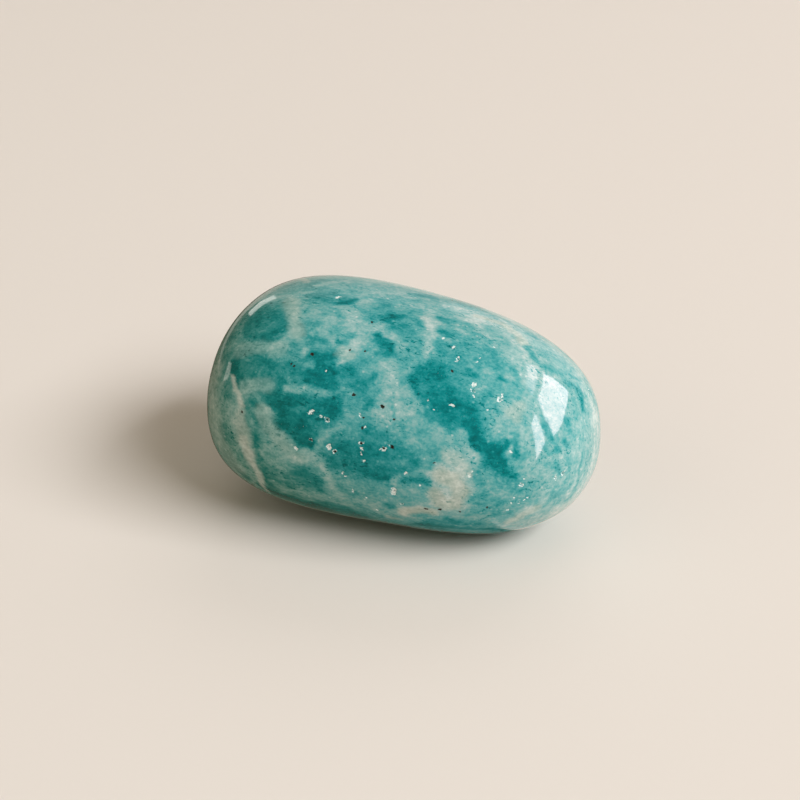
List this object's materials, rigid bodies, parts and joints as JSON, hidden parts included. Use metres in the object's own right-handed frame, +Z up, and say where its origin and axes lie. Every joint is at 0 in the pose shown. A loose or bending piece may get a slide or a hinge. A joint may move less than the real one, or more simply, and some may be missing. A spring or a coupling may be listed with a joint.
{
  "type": "tumbled amazonite stone",
  "caption": "Pocket-size tumbled and polished amazonite pebble, an uneven rounded oval with one blunt end, that rests on a small flat spot.",
  "frame": {"origin": "on the resting surface, under the middle of the stone's bounding box", "axes": "+X along the stone's length towards its slimmer, rounder end; +Z up, away from the small flat spot it rests on; the side the picture shows faces -Y"},
  "size_m": [0.031, 0.021, 0.0176],
  "materials": {
    "amazonite": "tumble-polished amazonite, blue-green with pale streaks"
  },
  "bodies": {
    "root": {"amazonite_pebble": "amazonite"}
  },
  "joints": []
}
